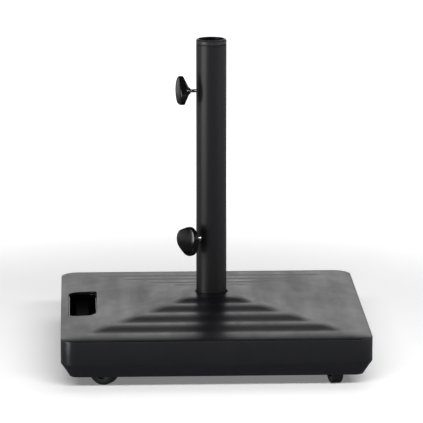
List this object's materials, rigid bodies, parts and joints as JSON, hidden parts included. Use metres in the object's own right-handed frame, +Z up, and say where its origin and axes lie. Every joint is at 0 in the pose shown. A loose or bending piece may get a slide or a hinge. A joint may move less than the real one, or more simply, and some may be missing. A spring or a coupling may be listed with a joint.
{
  "type": "parasol base",
  "caption": "Square wheeled parasol base: a black slab with a stepped top, a hand opening at one side, a steel tube with hand screws for the pole, and swivel castors under the corners.",
  "frame": {"origin": "on the floor, under the middle of the slab", "axes": "+Z up along the stand tube; -Y is the front; the hand opening is at -X"},
  "size_m": [0.5, 0.5, 0.531],
  "materials": {
    "shell_plastic": "satin, lightly textured moulding",
    "liner_plastic": "smooth, glossy",
    "cover_plastic": "plain matt moulding",
    "concrete": "cast concrete, rough",
    "tube_coating": "satin black powder coat on steel",
    "collar_plastic": "satin",
    "seal_rubber": "matt",
    "knob_plastic": "glossy",
    "bright_plating": "bright nickel plating",
    "pad_plastic": "natural nylon",
    "zinc_steel": "zinc plated",
    "bare_steel": "mill finish",
    "bearing_steel": "polished",
    "insert_brass": "turned",
    "hub_plastic": "semi-gloss",
    "tread_rubber": "matt"
  },
  "bodies": {
    "base": {"outer_shell": "shell_plastic", "concrete_core": "concrete", "base_cover": "cover_plastic", "cover_screws": "zinc_steel", "fill_plug": "cover_plastic", "tie_bolt_cap": "cover_plastic", "grip_liner": "liner_plastic", "stand_tube": "tube_coating", "top_collar": "collar_plastic", "foot_ring": "seal_rubber", "socket_sleeve": "bare_steel", "tube_end_plate": "bare_steel", "tie_washer": "zinc_steel", "tie_bolt": "zinc_steel", "pole_rest": "cover_plastic", "castor_plates": "zinc_steel", "castor_kingpins": "zinc_steel", "castor_balls": "bearing_steel", "castor_screws": "zinc_steel", "castor_inserts": "insert_brass", "upper_clinch_nut": "zinc_steel", "lower_clinch_nut": "zinc_steel"},
    "upper_pad": {"upper_pressure_pad": "pad_plastic"},
    "upper_hand_screw": {"upper_knob": "knob_plastic", "upper_knob_insert": "bright_plating", "upper_clamp_screw": "bright_plating"},
    "lower_pad": {"lower_pressure_pad": "pad_plastic"},
    "lower_hand_screw": {"lower_knob": "knob_plastic", "lower_knob_insert": "bright_plating", "lower_clamp_screw": "bright_plating"},
    "castor_front_left": {"fork_front_left": "zinc_steel", "axle_front_left": "zinc_steel", "axle_sleeve_front_left": "bare_steel"},
    "wheel_front_left": {"hub_front_left": "hub_plastic", "tread_front_left": "tread_rubber"},
    "castor_front_right": {"fork_front_right": "zinc_steel", "axle_front_right": "zinc_steel", "axle_sleeve_front_right": "bare_steel"},
    "wheel_front_right": {"hub_front_right": "hub_plastic", "tread_front_right": "tread_rubber"},
    "castor_rear_left": {"fork_rear_left": "zinc_steel", "axle_rear_left": "zinc_steel", "axle_sleeve_rear_left": "bare_steel"},
    "wheel_rear_left": {"hub_rear_left": "hub_plastic", "tread_rear_left": "tread_rubber"},
    "castor_rear_right": {"fork_rear_right": "zinc_steel", "axle_rear_right": "zinc_steel", "axle_sleeve_rear_right": "bare_steel"},
    "wheel_rear_right": {"hub_rear_right": "hub_plastic", "tread_rear_right": "tread_rubber"}
  },
  "joints": [
    {"name": "upper_screw_feed", "type": "slide", "parent": "base", "child": "upper_pad", "axis": [0.9848, 0.1736, 0], "range_m": [0, 0.01]},
    {"name": "upper_knob_turn", "type": "hinge", "parent": "upper_pad", "child": "upper_hand_screw", "pos_m": [-0.02954, -0.00521, 0.4455], "axis": [0.9848, 0.1736, 0], "range_deg": [0, 3600]},
    {"name": "lower_screw_feed", "type": "slide", "parent": "base", "child": "lower_pad", "axis": [0.7771, 0.6293, 0], "range_m": [0, 0.01]},
    {"name": "lower_knob_turn", "type": "hinge", "parent": "lower_pad", "child": "lower_hand_screw", "pos_m": [-0.02331, -0.01888, 0.1995], "axis": [0.7771, 0.6293, 0], "range_deg": [0, 3600]},
    {"name": "castor_swivel_front_left", "type": "hinge", "parent": "base", "child": "castor_front_left", "pos_m": [-0.1895, -0.1895, 0.06], "axis": [0, 0, 1], "continuous": true},
    {"name": "wheel_spin_front_left", "type": "hinge", "parent": "castor_front_left", "child": "wheel_front_left", "pos_m": [-0.18102, -0.1948, 0.025], "axis": [0.5299, 0.848, 0], "continuous": true},
    {"name": "castor_swivel_front_right", "type": "hinge", "parent": "base", "child": "castor_front_right", "pos_m": [0.1895, -0.1895, 0.06], "axis": [0, 0, 1], "continuous": true},
    {"name": "wheel_spin_front_right", "type": "hinge", "parent": "castor_front_right", "child": "wheel_front_right", "pos_m": [0.19141, -0.19932, 0.025], "axis": [0.9816, 0.1908, 0], "continuous": true},
    {"name": "castor_swivel_rear_left", "type": "hinge", "parent": "base", "child": "castor_rear_left", "pos_m": [-0.1895, 0.1895, 0.06], "axis": [0, 0, 1], "continuous": true},
    {"name": "wheel_spin_rear_left", "type": "hinge", "parent": "castor_rear_left", "child": "wheel_rear_left", "pos_m": [-0.19798, 0.1948, 0.025], "axis": [-0.5299, -0.848, 0], "continuous": true},
    {"name": "castor_swivel_rear_right", "type": "hinge", "parent": "base", "child": "castor_rear_right", "pos_m": [0.1895, 0.1895, 0.06], "axis": [0, 0, 1], "continuous": true},
    {"name": "wheel_spin_rear_right", "type": "hinge", "parent": "castor_rear_right", "child": "wheel_rear_right", "pos_m": [0.19864, 0.19357, 0.025], "axis": [-0.4067, 0.9135, 0], "continuous": true}
  ],
  "couplings": [
    {"joint": "upper_screw_feed", "follows": "upper_knob_turn", "m_per_rad": 0.00015915},
    {"joint": "lower_screw_feed", "follows": "lower_knob_turn", "m_per_rad": 0.00015915}
  ]
}
